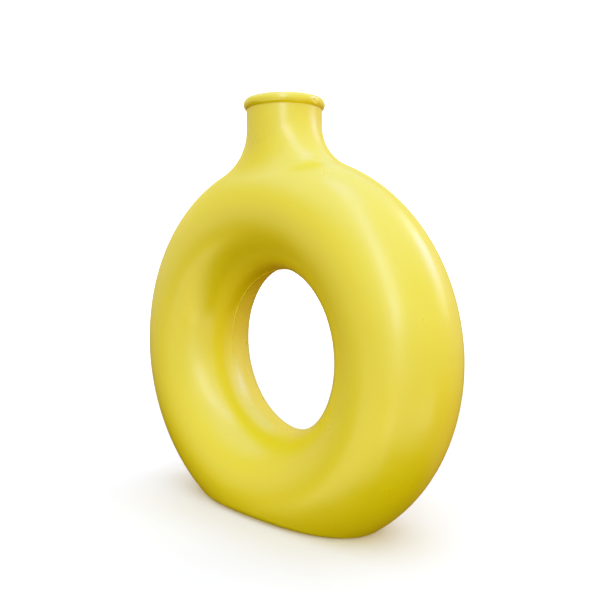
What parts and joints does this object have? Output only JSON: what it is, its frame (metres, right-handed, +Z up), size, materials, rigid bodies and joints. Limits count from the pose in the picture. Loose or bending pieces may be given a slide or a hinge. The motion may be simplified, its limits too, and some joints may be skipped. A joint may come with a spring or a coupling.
{
  "type": "donut vase",
  "caption": "Hollow ring-shaped vase of two bonded half shells, standing on a flat base, with a flared neck and a beaded mouth for stems.",
  "frame": {"origin": "centre of the flat base that the vase stands on", "axes": "+Z up along the neck, the ring's hole along Y, front faces -Y, X along the ring's width"},
  "size_m": [0.17, 0.0492, 0.1792],
  "materials": {
    "yellow_shell": "satin",
    "yellow_seam": "satin",
    "yellow_rim": "satin"
  },
  "bodies": {
    "root": {"front_shell": "yellow_shell", "back_shell": "yellow_shell", "outer_seam": "yellow_seam", "hole_seam": "yellow_seam", "mouth_ring": "yellow_rim"}
  },
  "joints": []
}
